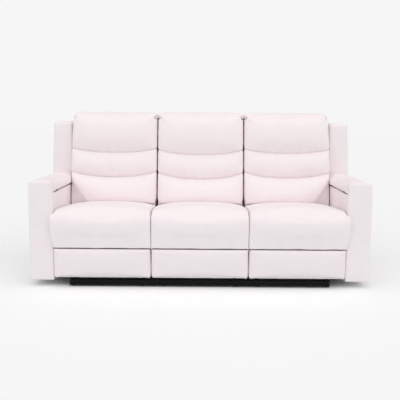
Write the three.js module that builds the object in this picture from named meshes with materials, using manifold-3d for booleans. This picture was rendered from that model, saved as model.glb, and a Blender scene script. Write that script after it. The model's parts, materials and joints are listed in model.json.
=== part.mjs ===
// Three-seat reclining sofa. Each seat has its own folding steel mechanism.
// Units are millimetres. X runs along the sofa, the seats face -Y, and the floor is z = 0.
import * as THREE from 'three';
import { mergeVertices } from 'three/addons/utils/BufferGeometryUtils.js';
import Module from 'manifold-3d';

const wasm = await Module();
wasm.setup();

// Overall sizes
const overallWidth = 2040;
const overallDepth = 910;
const overallHeight = 1050;
const armWidth = 138;
const seatNames = ['left', 'middle', 'right'];
const sideNames = ['left', 'right'];
const touchGap = 0.3;
const cutOverrun = 4;
const mergeDistance = 0.0001;
const frontY = -overallDepth / 2;
const rearY = overallDepth / 2;
const seatPitch = (overallWidth - 2 * armWidth) / seatNames.length;
const bayHalf = seatPitch / 2;

// Arms, arm pads and wings
const armSetback = 33;
const armTop = 637;
const armBottom = 45;
const armEdge = 12;
const fasciaThickness = 28;
const padThickness = 70;
const padRound = 30;
const wingSetback = 658;
const wingTop = 990;
const wingThickness = 134;
const wingTaper = 20;
const wingRound = 24;
const slotHeight = 13;
const slotDepth = 24;
const slotSetback = 52;

// Release levers in the arm slots
const leverLength = 92;
const leverThickness = 4;
const leverWidth = 18;
const leverSetback = 16;
const leverInset = 3;
const leverPivotRadius = 6;
const leverFacets = 12;

// Seat cushions
const cushionSideGap = 4;
const seatLipBottom = 242;
const seatTop = 474;
const seatCrown = 10;
const seatFall = 34;
const seatTuck = 14;
const seatRound = 34;
const seatRearSetback = 506;
const seatSideDraw = 5;

// Seat box under each cushion, and the webbing on it
const boxFrontInset = 37;
const boxHeight = 38;
const boxRail = 22;
const boxRearSetback = 500;
const boxSideInset = 6;
const webbingThickness = 2.4;
const strapWidth = 50;
const strapCount = 4;

// Footrest panels
const panelThickness = 75;
const panelBottom = 56;
const panelTop = 239;
const panelRound = 15;
const panelCrown = 7;
const panelTopSlope = 9;

// Plates of the mechanism, in layers along X
const plateThickness = 3.6;
const layerPitch = 5;
const mechHalfSpan = 205;
const mechanismInset = 22;
const pinRadius = 4;
const pinPlay = 0.4;
const linkRadius = 9;
const pinFacets = 6;
const endSteps = 4;

// Footrest tongs: link length, folded and open half angles, and the rise of their line
const tongsLength = 170;
const tongsFolded = THREE.MathUtils.degToRad(76);
const tongsOpen = THREE.MathUtils.degToRad(12);
const tongsRise = THREE.MathUtils.degToRad(10);
const tongsPivotSetback = 197;
const tongsPivotZ = 203;

// Control link that turns the footrest panel, and the panel's bracket
const controlForward = 24;
const controlDrop = 73.9;
const bracketHoleRadius = 10.4;
const bracketMargin = 11;
const bracketTopMargin = 6;
const bracketPinMargin = 14.5;
const bracketHoleFacets = 12;
const bracketStrip = 3;
const bracketStripHeight = 40;

// Base rails, feet and the rail across the front
const railBottom = 12;
const railHeight = 40;
const railRearSetback = 790;
const frontRailSetback = 31;
const frontRailDepth = 24;
const frontRailHeight = 32;
const footRadius = 13;
const footFacets = 12;
const footInset = 18;
const baseTube = 24;
const baseFrontTubeSetback = 330;
const baseRearTubeSetback = 720;
const flangeSize = 64;
const flangeThickness = 4;

// Swing links that carry the seat forward, and the seat carriage
const swingLength = 90;
const swingLean = THREE.MathUtils.degToRad(15);
const swingRadius = 13;
const swingPivotZ = 36;
const swingFrontSetback = 375;
const swingRearSetback = 655;
const carriageTop = 250;
const carriageDepth = 45;
const carriageFrontInset = 83;
const carriageTube = 25;
const carriageFrontTubeSetback = 232;
const carriageRearTubeSetback = 478;

// Back hinge, back frame and back cushions
const hingeSetback = 605;
const hingeZ = 330;
const hingeRadius = 14;
const backBottom = 360;
const frameSetback = 800;
const frameLean = THREE.MathUtils.degToRad(5.14);
const frameTube = 24;
const frameHeight = 590;
const frameRailShares = [0.03, 0.47, 0.97];
const hingeArmHeight = 34;
const backDepth = 228;
const backWall = 22;
const pocketPlay = 2;
const backRound = 44;
const backFrontSetback = 517;
const frontLeanShare = 0.2;
const pillowDepths = [40, 30, 38];
const pillowSeamHeights = [440, 652, 806];
const seamDrop = 34;
const grooveDepth = 6;
const pillowFullnessShare = 0.7;
const pillowSquareShare = 6;
const rowsPerPillow = 4;

// Rear panel between the arms
const rearPanelThickness = 18;
const rearPanelBottom = 60;
const rearPanelTop = 352;

const fabric = { color: 0xf1ebe6, roughness: 0.92, metalness: 0 };
const steel = { color: 0x17181a, roughness: 0.45, metalness: 0.6 };
const plywood = { color: 0xc9a878, roughness: 0.7, metalness: 0 };
const webbing = { color: 0x2b2a2c, roughness: 0.95, metalness: 0 };
const leverPlastic = { color: 0x1c1c1e, roughness: 0.5, metalness: 0 };

const sofa = new THREE.Group();
sofa.name = 'reclining_sofa';

// Solids and meshes
function toSolid(geometry) {
  const bare = geometry.clone();
  bare.deleteAttribute('normal');
  bare.deleteAttribute('uv');
  const merged = mergeVertices(bare, mergeDistance);
  const vertProperties = new Float32Array(merged.attributes.position.array);
  const triVerts = new Uint32Array(merged.index.array);
  return new wasm.Manifold(new wasm.Mesh({ numProp: 3, vertProperties, triVerts }));
}

function toGeometry(solid) {
  const data = solid.getMesh();
  const geometry = new THREE.BufferGeometry();
  geometry.setAttribute('position', new THREE.BufferAttribute(new Float32Array(data.vertProperties), 3));
  geometry.setIndex(new THREE.BufferAttribute(new Uint32Array(data.triVerts), 1));
  geometry.computeVertexNormals();
  return geometry;
}

function join(solids) {
  return solids.reduce((sum, next) => sum.add(next));
}

function cut(solid, tools) {
  return tools.reduce((rest, tool) => rest.subtract(tool), solid);
}

function addPiece(name, solid, finish) {
  const mesh = new THREE.Mesh(toGeometry(solid), new THREE.MeshStandardMaterial(finish));
  mesh.name = name;
  sofa.add(mesh);
}

function blockBetween(low, high) {
  const size = new THREE.Vector3().subVectors(high, low);
  const geometry = new THREE.BoxGeometry(size.x, size.y, size.z);
  const middle = new THREE.Vector3().addVectors(low, high).multiplyScalar(1 / 2);
  geometry.translate(middle.x, middle.y, middle.z);
  return toSolid(geometry);
}

function block(x0, x1, y0, y1, z0, z1) {
  return blockBetween(new THREE.Vector3(x0, y0, z0), new THREE.Vector3(x1, y1, z1));
}

// A rod along X between two places
function rod(point, x0, x1, radius = pinRadius, facets = pinFacets) {
  const geometry = new THREE.CylinderGeometry(radius, radius, Math.abs(x1 - x0), facets);
  geometry.rotateZ(Math.PI / 2);
  geometry.translate((x0 + x1) / 2, point.y, point.z);
  return toSolid(geometry);
}

// A shape drawn in the Y-Z plane, made thick along X about a middle place
const plateTurn = new THREE.Matrix4().makeBasis(
  new THREE.Vector3(0, 1, 0),
  new THREE.Vector3(0, 0, 1),
  new THREE.Vector3(1, 0, 0),
);

function plate(shape, middleX, thickness = plateThickness) {
  const geometry = new THREE.ExtrudeGeometry(shape, { depth: thickness, bevelEnabled: false });
  geometry.applyMatrix4(plateTurn);
  geometry.translate(middleX - thickness / 2, 0, 0);
  return toSolid(geometry);
}

function layerX(layer) {
  return mechHalfSpan - layer * layerPitch;
}

// The mechanisms of the outer seats sit a little nearer the middle seat than their cushions
function mechanismX(outerSide) {
  return outerSide * (seatPitch - mechanismInset);
}

const playHole = (pinRadius + pinPlay) / Math.cos(Math.PI / pinFacets);

function withHoles(shape, holes, radius = playHole, facets = pinFacets) {
  for (const hole of holes) {
    const points = [];
    for (let i = 0; i < facets; i += 1) {
      const angle = (2 * Math.PI * i) / facets;
      points.push(new THREE.Vector2(hole.y + radius * Math.cos(angle), hole.z + radius * Math.sin(angle)));
    }
    shape.holes.push(new THREE.Path(points));
  }
  return shape;
}

// A flat link with round ends
function endArc(centre, radius, fromAngle) {
  const points = [];
  for (let i = 0; i <= endSteps; i += 1) {
    const angle = fromAngle + (Math.PI * i) / endSteps;
    points.push([centre.y + radius * Math.cos(angle), centre.z + radius * Math.sin(angle)]);
  }
  return points;
}

function linkShape(start, end, radius = linkRadius) {
  const turn = Math.atan2(end.z - start.z, end.y - start.y);
  return polygonShape([
    ...endArc(start, radius, turn + Math.PI / 2),
    ...endArc(end, radius, turn - Math.PI / 2),
  ]);
}

function polygonShape(points) {
  return new THREE.Shape(points.map(([y, z]) => new THREE.Vector2(y, z)));
}

// The same pieces on both sides of a seat
function bothSides(makeSide) {
  return [1, -1].flatMap((side) => makeSide(side));
}

// A soft block with rounded edges. Its stops are places along each axis, from low to high.
function roundStops(half, radius, steps) {
  const early = radius * (1 - Math.tan(Math.PI / 8));
  const inner = [];
  for (let i = 1; i < steps; i += 1) {
    inner.push(-half + radius + (2 * (half - radius) * i) / steps);
  }
  return [-half, -half + early, -half + radius, ...inner, half - radius, half - early, half];
}

function softBlock(half, stops, radius, reshape) {
  const counts = stops.map((list) => list.length - 1);
  const geometry = new THREE.BoxGeometry(2, 2, 2, counts[0], counts[1], counts[2]);
  geometry.deleteAttribute('normal');
  geometry.deleteAttribute('uv');
  const merged = mergeVertices(geometry, mergeDistance);
  const places = merged.attributes.position;
  const point = new THREE.Vector3();
  const inner = new THREE.Vector3();
  const reach = half.clone().subScalar(radius);
  for (let i = 0; i < places.count; i += 1) {
    const unit = [places.getX(i), places.getY(i), places.getZ(i)];
    const found = unit.map((share, axis) => stops[axis][Math.round(((share + 1) / 2) * counts[axis])]);
    point.set(found[0], found[1], found[2]);
    inner.copy(point).clamp(reach.clone().negate(), reach);
    const away = point.clone().sub(inner);
    if (away.length() > 0) {
      away.setLength(radius);
    }
    point.copy(inner).add(away);
    const shares = new THREE.Vector3(point.x / half.x, point.y / half.y, point.z / half.z);
    reshape(point, shares);
    places.setXYZ(i, point.x, point.y, point.z);
  }
  return toSolid(merged);
}

function bulge(share) {
  return 1 - share * share;
}

// Arms: a boxed body with a taller front fascia, in one side outline with eased edges
const armFrontY = frontY + armSetback;
const bodyTop = armTop - padThickness;

function armBody(middleX) {
  const shape = polygonShape([
    [armFrontY, armBottom],
    [armFrontY, armTop],
    [armFrontY + fasciaThickness, armTop],
    [armFrontY + fasciaThickness, bodyTop],
    [rearY, bodyTop],
    [rearY, armBottom],
  ].reverse());
  const geometry = new THREE.ExtrudeGeometry(shape, {
    depth: armWidth - 2 * armEdge,
    bevelEnabled: true,
    bevelThickness: armEdge,
    bevelSize: armEdge,
    bevelOffset: -armEdge,
    bevelSegments: 2,
  });
  geometry.applyMatrix4(plateTurn);
  geometry.translate(middleX - armWidth / 2 + armEdge, 0, 0);
  return toSolid(geometry);
}

const padFrontY = armFrontY + fasciaThickness + touchGap;
const wingFrontY = frontY + wingSetback;
const padRearY = wingFrontY - touchGap;
const padBottomZ = bodyTop + touchGap;

function armPad(middleX, side) {
  const half = new THREE.Vector3(armWidth / 2, (padRearY - padFrontY) / 2, (armTop - padBottomZ) / 2);
  const stops = [
    roundStops(half.x, padRound, 1),
    roundStops(half.y, padRound, 2),
    roundStops(half.z, padRound, 1),
  ];
  const pad = softBlock(half, stops, padRound, (point) => {
    point.x += middleX;
    point.y += (padFrontY + padRearY) / 2;
    point.z += (padBottomZ + armTop) / 2;
  });
  const innerX = middleX - (side * armWidth) / 2;
  const slotX = [innerX - side * cutOverrun, innerX + side * slotDepth].sort((a, b) => a - b);
  const slot = block(slotX[0], slotX[1], padFrontY + slotSetback, padRearY + cutOverrun,
    padBottomZ - cutOverrun, bodyTop + slotHeight);
  return pad.subtract(slot);
}

function wing(middleX, side) {
  const rearFace = rearY - armEdge;
  const half = new THREE.Vector3(wingThickness / 2, (rearFace - wingFrontY) / 2, (wingTop - padBottomZ) / 2);
  const stops = [
    roundStops(half.x, wingRound, 1),
    roundStops(half.y, wingRound, 1),
    roundStops(half.z, wingRound, 2),
  ];
  const outward = side * (overallWidth / 2 - wingThickness / 2 - Math.abs(middleX));
  return softBlock(half, stops, wingRound, (point, share) => {
    point.x -= side * wingTaper * ((side * share.x + 1) / 2) * ((share.z + 1) / 2);
    point.x += middleX + outward;
    point.y += (wingFrontY + rearFace) / 2;
    point.z += (padBottomZ + wingTop) / 2;
  });
}

// Release lever: a flat paddle in the slot. It swings out about an upright boss near its front end,
// and the boss turns between the arm body and the pad.
function releaseLever(middleX, side) {
  const innerX = middleX - (side * armWidth) / 2;
  const pivotX = innerX + side * (leverInset + leverWidth / 2);
  const pivotY = padFrontY + slotSetback + leverSetback;
  const radius = leverWidth / 2;
  const shape = new THREE.Shape();
  shape.moveTo(pivotX - radius, pivotY);
  shape.absarc(pivotX, pivotY, radius, Math.PI, 2 * Math.PI);
  shape.absarc(pivotX, pivotY + leverLength - 2 * radius, radius, 0, Math.PI);
  const blade = new THREE.ExtrudeGeometry(shape, {
    depth: leverThickness,
    bevelEnabled: false,
    curveSegments: leverFacets / 4,
  });
  blade.translate(0, 0, bodyTop + (slotHeight - leverThickness) / 2);
  const boss = new THREE.CylinderGeometry(
    leverPivotRadius, leverPivotRadius, slotHeight - 2 * touchGap, leverFacets);
  boss.rotateX(Math.PI / 2);
  boss.translate(pivotX, pivotY, bodyTop + slotHeight / 2);
  return toSolid(blade).add(toSolid(boss));
}

for (const [index, name] of sideNames.entries()) {
  const side = index === 0 ? -1 : 1;
  const middleX = (side * (overallWidth - armWidth)) / 2;
  addPiece(`arm_${name}`, armBody(middleX), fabric);
  addPiece(`arm_pad_${name}`, armPad(middleX, side), fabric);
  addPiece(`wing_${name}`, wing(middleX, side), fabric);
  addPiece(`release_lever_${name}`, releaseLever(middleX, side), leverPlastic);
}

// Front rail across all the bases, and the upholstered panel across the back
const railFrontY = frontY + frontRailSetback;
const railRearFace = railFrontY + frontRailDepth;
const railReach = mechanismX(1) + layerX(-2) + plateThickness / 2;
addPiece('front_rail', block(-railReach, railReach, railFrontY, railRearFace,
  railBottom, railBottom + frontRailHeight), steel);

const armInnerX = overallWidth / 2 - armWidth;
const rearPanelX = armInnerX - touchGap;
addPiece('rear_panel', block(-rearPanelX, rearPanelX, rearY - armEdge - rearPanelThickness, rearY - armEdge,
  rearPanelBottom, rearPanelTop), fabric);

// Base of one seat: two rails on feet, tied by two tubes that reach the arms on the outer seats
const baseFrontEnd = railRearFace + touchGap;
const baseRearEnd = frontY + railRearSetback;
const swingPivots = [swingFrontSetback, swingRearSetback].map((setback) => ({
  y: frontY + setback,
  z: swingPivotZ,
}));

function baseFrame(mechX, outerSide) {
  const railShape = () => polygonShape([
    [baseFrontEnd, railBottom],
    [baseRearEnd, railBottom],
    [baseRearEnd, railBottom + railHeight],
    [baseFrontEnd, railBottom + railHeight],
  ]);
  const sides = bothSides((side) => {
    const middle = mechX + side * layerX(-2);
    const rail = plate(railShape(), middle);
    const pinEnd = mechX + side * (layerX(-1) - plateThickness / 2);
    const pins = swingPivots.map((pivot) => rod(pivot, middle, pinEnd));
    const feet = [baseFrontEnd + footInset, baseRearEnd - footInset].map((y) => {
      const height = railBottom + plateThickness;
      const foot = new THREE.CylinderGeometry(footRadius, footRadius, height, footFacets);
      foot.rotateX(Math.PI / 2);
      foot.translate(middle, y, height / 2);
      return toSolid(foot);
    });
    return [rail, ...pins, ...feet];
  });
  const inner = layerX(-2);
  const reach = armInnerX - touchGap - Math.abs(mechX);
  const low = mechX - (outerSide < 0 ? reach : inner);
  const high = mechX + (outerSide > 0 ? reach : inner);
  const tubes = [baseFrontTubeSetback, baseRearTubeSetback].map((setback) => block(low, high,
    frontY + setback, frontY + setback + baseTube, railBottom + touchGap, railBottom + touchGap + baseTube));
  const flanges = outerSide === 0 ? [] : [baseFrontTubeSetback, baseRearTubeSetback].map((setback) => {
    const face = outerSide > 0 ? high : low;
    const back = face - outerSide * flangeThickness;
    const middleY = frontY + setback + baseTube / 2;
    return block(Math.min(face, back), Math.max(face, back),
      middleY - flangeSize / 2, middleY + flangeSize / 2,
      railBottom + touchGap, railBottom + touchGap + flangeSize);
  });
  return join([...sides, ...tubes, ...flanges]);
}

// Swing links: each pair of arms leans back at rest, and forward once the seat has moved
const swingTops = swingPivots.map((pivot) => ({
  y: pivot.y + swingLength * Math.sin(swingLean),
  z: pivot.z + swingLength * Math.cos(swingLean),
}));

function swingLink(mechX, which) {
  const foot = swingPivots[which];
  const top = swingTops[which];
  const arms = bothSides((side) => plate(
    withHoles(linkShape(foot, top, swingRadius), [foot]),
    mechX + side * layerX(-1),
  ));
  const shaft = rod(top, mechX - layerX(-1), mechX + layerX(-1));
  return join([...arms, shaft]);
}

// Footrest tongs, folded. Forward is -Y.
const along = { y: -Math.cos(tongsRise), z: Math.sin(tongsRise) };
const down = { y: -Math.sin(tongsRise), z: -Math.cos(tongsRise) };
const tongsPivot = { y: frontY + tongsPivotSetback, z: tongsPivotZ };

function tongsPoint(stages, lower, half = tongsFolded) {
  const forward = tongsLength * Math.cos(half) * stages;
  const drop = lower ? tongsLength * Math.sin(half) : 0;
  return {
    y: tongsPivot.y + along.y * forward + down.y * drop,
    z: tongsPivot.z + along.z * forward + down.z * drop,
  };
}

function between(a, b) {
  return { y: (a.y + b.y) / 2, z: (a.z + b.z) / 2 };
}

const rearLower = tongsPoint(0, true);
const rearLowerOpen = tongsPoint(0, true, tongsOpen);
const jointUpper = tongsPoint(1, false);
const jointLower = tongsPoint(1, true);
const frontUpper = tongsPoint(2, false);
const frontLower = tongsPoint(2, true);
const crossRear = between(tongsPivot, jointLower);
const crossFront = between(jointUpper, frontLower);
const controlPin = { y: frontUpper.y - controlForward, z: frontUpper.z - controlDrop };

function linkPair(mechX, layer, start, end, holes) {
  return bothSides((side) => plate(withHoles(linkShape(start, end), holes), mechX + side * layerX(layer)));
}

// A shaft across the seat whose ends stop flush with the outer face of a layer
function shaftAcross(mechX, point, layer) {
  const reach = layerX(layer) + plateThickness / 2;
  return rod(point, mechX - reach, mechX + reach);
}

// Short pins from one layer to the far face of another, on both sides
function stubPins(mechX, point, fromLayer, toLayer) {
  const lean = toLayer < fromLayer ? 1 : -1;
  const far = layerX(toLayer) + (lean * plateThickness) / 2;
  return bothSides((side) => rod(point, mechX + side * layerX(fromLayer), mechX + side * far));
}

function tongsLinkA(mechX) {
  const arms = linkPair(mechX, 1, tongsPivot, jointLower, [tongsPivot, jointLower]);
  return join([...arms, shaftAcross(mechX, crossRear, 1)]);
}

function tongsLinkB(mechX) {
  const arms = linkPair(mechX, 2, rearLower, jointUpper, [crossRear]);
  return join([...arms, shaftAcross(mechX, jointUpper, 1), ...stubPins(mechX, rearLower, 2, 0)]);
}

function tongsLinkC(mechX) {
  const arms = linkPair(mechX, 1, jointUpper, frontLower, [jointUpper, frontLower]);
  return join([...arms, shaftAcross(mechX, crossFront, 1)]);
}

function tongsLinkD(mechX) {
  const arms = linkPair(mechX, 2, jointLower, frontUpper, [crossFront, frontUpper]);
  return join([...arms, shaftAcross(mechX, jointLower, 1)]);
}

function controlLink(mechX) {
  const arms = linkPair(mechX, 2, frontLower, controlPin, []);
  return join([...arms, shaftAcross(mechX, frontLower, 1), ...stubPins(mechX, controlPin, 2, 3)]);
}

// Bracket that carries the footrest panel
const panelRearY = frontY + panelThickness;
const bracketFaceY = panelRearY + touchGap;

function footrestBracket(mechX) {
  const top = frontUpper.z + bracketTopMargin;
  const shape = () => withHoles(polygonShape([
    [bracketFaceY, controlPin.z - bracketPinMargin],
    [controlPin.y + bracketPinMargin, controlPin.z - bracketPinMargin],
    [frontUpper.y + bracketMargin, frontUpper.z - bracketMargin],
    [frontUpper.y + bracketMargin, top],
    [bracketFaceY, top],
  ]), [controlPin], bracketHoleRadius, bracketHoleFacets);
  const sides = bothSides((side) => plate(shape(), mechX + side * layerX(3)));
  const strip = block(mechX - layerX(3), mechX + layerX(3), bracketFaceY, bracketFaceY + bracketStrip,
    top - bracketStripHeight, top);
  return join([...sides, strip, ...stubPins(mechX, frontUpper, 3, 2)]);
}

function footrestPanel(seatX) {
  const half = new THREE.Vector3(bayHalf - cushionSideGap, panelThickness / 2, (panelTop - panelBottom) / 2);
  const stops = [
    roundStops(half.x, panelRound, 3),
    roundStops(half.y, panelRound, 1),
    roundStops(half.z, panelRound, 2),
  ];
  return softBlock(half, stops, panelRound, (point, share) => {
    const rearShare = (share.y + 1) / 2;
    const topShare = (share.z + 1) / 2;
    point.z -= panelTopSlope * rearShare * topShare;
    point.y += (1 - rearShare) * panelCrown * (1 - bulge(share.x) * bulge(share.z));
    point.x += seatX;
    point.y += (frontY + panelRearY) / 2;
    point.z += (panelBottom + panelTop) / 2;
  });
}

// Seat carriage: side plates with a slot for the tongs, and two tubes under the seat box
const hingePoint = { y: frontY + hingeSetback, z: hingeZ };

function seatCarriage(seatX, mechX) {
  const beamFront = frontY + carriageFrontInset;
  const beamMiddle = carriageTop - carriageDepth / 2;
  const beamRear = swingTops[1].y + swingRadius;
  const beam = () => polygonShape([
    [beamFront, carriageTop - carriageDepth],
    [beamRear, carriageTop - carriageDepth],
    [beamRear, carriageTop],
    [beamFront, carriageTop],
  ]);
  const swingLegs = swingTops.map((top) => ({ top, root: { y: top.y, z: beamMiddle } }));
  const slotWall = linkRadius + pinRadius;
  const sides = bothSides((side) => {
    const middle = mechX + side * layerX(0);
    const blank = join([
      plate(beam(), middle),
      ...swingLegs.map(({ top, root }) => plate(linkShape(top, root, swingRadius), middle)),
      plate(linkShape(hingePoint, { y: hingePoint.y, z: beamMiddle }, hingeRadius), middle),
      plate(linkShape(rearLower, tongsPivot, slotWall), middle),
    ]);
    const slot = plate(linkShape(rearLower, rearLowerOpen, playHole), middle, plateThickness + cutOverrun);
    const near = middle - plateThickness;
    const far = middle + plateThickness;
    const holes = swingTops.map((top) => rod(top, near, far, playHole));
    return [cut(blank, [slot, ...holes])];
  });
  const reach = bayHalf - boxSideInset;
  const tubes = [carriageFrontTubeSetback, carriageRearTubeSetback].map((setback) => block(
    seatX - reach, seatX + reach,
    frontY + setback, frontY + setback + carriageTube,
    carriageTop - carriageTube, carriageTop,
  ));
  const pivots = [
    ...stubPins(mechX, tongsPivot, 0, 1),
    ...stubPins(mechX, hingePoint, 0, -1),
  ];
  return join([...sides, ...tubes, ...pivots]);
}

// Seat box: a rectangular plywood frame
const boxBottom = carriageTop + touchGap;
const boxTop = boxBottom + boxHeight;
const boxFrontY = frontY + boxFrontInset;
const boxRearY = frontY + boxRearSetback;
const boxHalf = bayHalf - boxSideInset;

function rectangle(x0, x1, y0, y1, Kind = THREE.Shape) {
  const shape = new Kind();
  shape.moveTo(x0, y0);
  shape.lineTo(x1, y0);
  shape.lineTo(x1, y1);
  shape.lineTo(x0, y1);
  shape.closePath();
  return shape;
}

function layFlat(shape, bottom, thickness) {
  const geometry = new THREE.ExtrudeGeometry(shape, { depth: thickness, bevelEnabled: false });
  geometry.translate(0, 0, bottom);
  return toSolid(geometry);
}

function seatBox(seatX) {
  const shape = rectangle(seatX - boxHalf, seatX + boxHalf, boxFrontY, boxRearY);
  shape.holes.push(rectangle(seatX - boxHalf + boxRail, seatX + boxHalf - boxRail,
    boxFrontY + boxRail, boxRearY - boxRail, THREE.Path));
  return layFlat(shape, boxBottom, boxHeight);
}

// Webbing: straps both ways, woven into one mat that lies on the seat box
const webbingBottom = boxTop + touchGap;
const cushionBottom = webbingBottom + webbingThickness + touchGap;

function seatWebbing(seatX) {
  const top = webbingBottom + webbingThickness;
  const stepX = (2 * boxHalf - strapWidth) / (strapCount - 1);
  const stepY = (boxRearY - boxFrontY - strapWidth) / (strapCount - 1);
  const straps = [];
  for (let i = 0; i < strapCount; i += 1) {
    const x = seatX - boxHalf + stepX * i;
    const y = boxFrontY + stepY * i;
    straps.push(block(x, x + strapWidth, boxFrontY, boxRearY, webbingBottom, top));
    straps.push(block(seatX - boxHalf, seatX + boxHalf, y, y + strapWidth, webbingBottom, top));
  }
  return join(straps);
}

// Seat cushion: crowned, lower towards the back, sides drawn in between the corners, and with a lip
// in front of the seat box
function seatCushion(seatX) {
  const rearY0 = frontY + seatRearSetback;
  const half = new THREE.Vector3(
    bayHalf - cushionSideGap, (rearY0 - frontY) / 2, (seatTop - seatLipBottom) / 2);
  const stops = [
    roundStops(half.x, seatRound, 6),
    roundStops(half.y, seatRound, 5),
    roundStops(half.z, seatRound, 2),
  ];
  const soft = softBlock(half, stops, seatRound, (point, share) => {
    const topShare = (share.z + 1) / 2;
    const rearShare = (share.y + 1) / 2;
    point.x -= share.x * seatSideDraw * bulge(share.y);
    point.z += topShare * (seatCrown * bulge(share.x) * bulge(share.y) - seatFall * rearShare * rearShare);
    point.y += seatTuck * (1 - bulge(share.z)) * (1 - rearShare) * (1 - topShare);
    point.x += seatX;
    point.y += (frontY + rearY0) / 2;
    point.z += (seatLipBottom + seatTop) / 2;
  });
  const undercut = block(seatX - bayHalf, seatX + bayHalf, boxFrontY - touchGap, rearY,
    seatLipBottom - cutOverrun, cushionBottom);
  return soft.subtract(undercut);
}

// Back frame: welded tubes that lean back, on hinge arms beside the carriage
const frameFoot = { y: frontY + frameSetback, z: backBottom };

function leanSlab(x0, x1, thickness, low, high) {
  const shape = polygonShape([
    [-thickness / 2, low],
    [thickness / 2, low],
    [thickness / 2, high],
    [-thickness / 2, high],
  ]);
  const geometry = new THREE.ExtrudeGeometry(shape, { depth: x1 - x0, bevelEnabled: false });
  geometry.applyMatrix4(plateTurn);
  geometry.translate(x0, 0, 0);
  geometry.rotateX(-frameLean);
  geometry.translate(0, frameFoot.y, frameFoot.z);
  return toSolid(geometry);
}

function backFrame(mechX) {
  const half = frameTube / 2;
  const spine = layerX(-1);
  const armLow = hingePoint.z - hingeArmHeight / 2;
  const armHigh = hingePoint.z + hingeArmHeight / 2;
  const armShape = () => withHoles(polygonShape([
    [hingePoint.y - hingeRadius, hingePoint.z],
    [hingePoint.y, hingePoint.z - hingeRadius],
    [frameFoot.y + half, armLow],
    [frameFoot.y + half, armHigh],
    [hingePoint.y, hingePoint.z + hingeRadius],
  ]), [hingePoint]);
  const uprightLow = armLow - frameFoot.z + half;
  const sides = bothSides((side) => {
    const middle = mechX + side * spine;
    return [
      plate(armShape(), middle),
      leanSlab(middle - half, middle + half, frameTube, uprightLow, frameHeight),
    ];
  });
  const rails = frameRailShares.map((share) => {
    const middle = share * frameHeight;
    return leanSlab(mechX - spine, mechX + spine, frameTube, middle - half, middle + half);
  });
  return join([...sides, ...rails]);
}

// Back cushion: three pillows between curved seams, slipped over the back frame from above
const pillowTops = [...pillowSeamHeights.slice(1), overallHeight];

function backProfile(height, side) {
  let depth = 0;
  for (const [index, low] of pillowSeamHeights.entries()) {
    const high = pillowTops[index];
    if (height >= low && height <= high) {
      const share = (height - low) / (high - low);
      const swell = Math.pow(Math.sin(Math.PI * share), pillowFullnessShare);
      depth = (pillowDepths[index] + grooveDepth) * swell - grooveDepth;
    }
  }
  return depth * (1 - Math.pow(Math.abs(side), pillowSquareShare));
}

function backCushion(seatX, mechX) {
  const half = new THREE.Vector3(bayHalf - cushionSideGap, backDepth / 2, (overallHeight - backBottom) / 2);
  const toLocal = (height) => height - backBottom - half.z;
  const rows = [];
  for (const [index, low] of pillowSeamHeights.entries()) {
    const high = Math.min(pillowTops[index], overallHeight - backRound);
    for (let step = 0; step < rowsPerPillow; step += 1) {
      rows.push(toLocal(low + ((high - low) * step) / rowsPerPillow));
    }
  }
  const edge = roundStops(half.z, backRound, 1);
  const stops = [
    roundStops(half.x, backRound, 5),
    roundStops(half.y, backRound, 1),
    [...edge.slice(0, 3), ...rows, ...edge.slice(3)],
  ];
  const soft = softBlock(half, stops, backRound, (point, share) => {
    const height = point.z + half.z + backBottom;
    const frontShare = (1 - share.y) / 2;
    const rearFace = frameFoot.y + frameTube / 2 + backWall + (height - frameFoot.z) * Math.tan(frameLean);
    const frontFace = frontY + backFrontSetback + Math.max(0, height - pillowSeamHeights[0]) * frontLeanShare;
    const swell = backProfile(height, share.x);
    const middle = (rearFace + frontFace) / 2;
    const span = (rearFace - frontFace) / 2;
    const drop = seamDrop * bulge(share.x) * Math.sin(Math.PI * THREE.MathUtils.clamp(
      (height - pillowSeamHeights[0]) / (overallHeight - pillowSeamHeights[0]), 0, 1));
    point.y = middle + share.y * span - swell * frontShare;
    point.z = height - drop * frontShare;
    point.x += seatX;
  });
  const slot = frameTube + 2 * pocketPlay;
  const reach = layerX(-1) + frameTube / 2 + touchGap;
  const pocketLow = -hingeArmHeight - cutOverrun;
  const pocket = leanSlab(mechX - reach, mechX + reach, slot, pocketLow, frameHeight + touchGap);
  return soft.subtract(pocket);
}

for (const [index, name] of seatNames.entries()) {
  const outerSide = index - (seatNames.length - 1) / 2;
  const seatX = outerSide * seatPitch;
  const mechX = mechanismX(outerSide);
  addPiece(`base_${name}`, baseFrame(mechX, outerSide), steel);
  addPiece(`swing_link_front_${name}`, swingLink(mechX, 0), steel);
  addPiece(`swing_link_rear_${name}`, swingLink(mechX, 1), steel);
  addPiece(`seat_carriage_${name}`, seatCarriage(seatX, mechX), steel);
  addPiece(`tongs_link_a_${name}`, tongsLinkA(mechX), steel);
  addPiece(`tongs_link_b_${name}`, tongsLinkB(mechX), steel);
  addPiece(`tongs_link_c_${name}`, tongsLinkC(mechX), steel);
  addPiece(`tongs_link_d_${name}`, tongsLinkD(mechX), steel);
  addPiece(`control_link_${name}`, controlLink(mechX), steel);
  addPiece(`footrest_bracket_${name}`, footrestBracket(mechX), steel);
  addPiece(`footrest_panel_${name}`, footrestPanel(seatX), fabric);
  addPiece(`seat_box_${name}`, seatBox(seatX), plywood);
  addPiece(`seat_webbing_${name}`, seatWebbing(seatX), webbing);
  addPiece(`seat_cushion_${name}`, seatCushion(seatX), fabric);
  addPiece(`back_frame_${name}`, backFrame(mechX), steel);
  addPiece(`back_cushion_${name}`, backCushion(seatX, mechX), fabric);
}

export default sofa;
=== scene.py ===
import json
import math

import bpy
import numpy as np
from mathutils import Matrix, Vector


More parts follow.
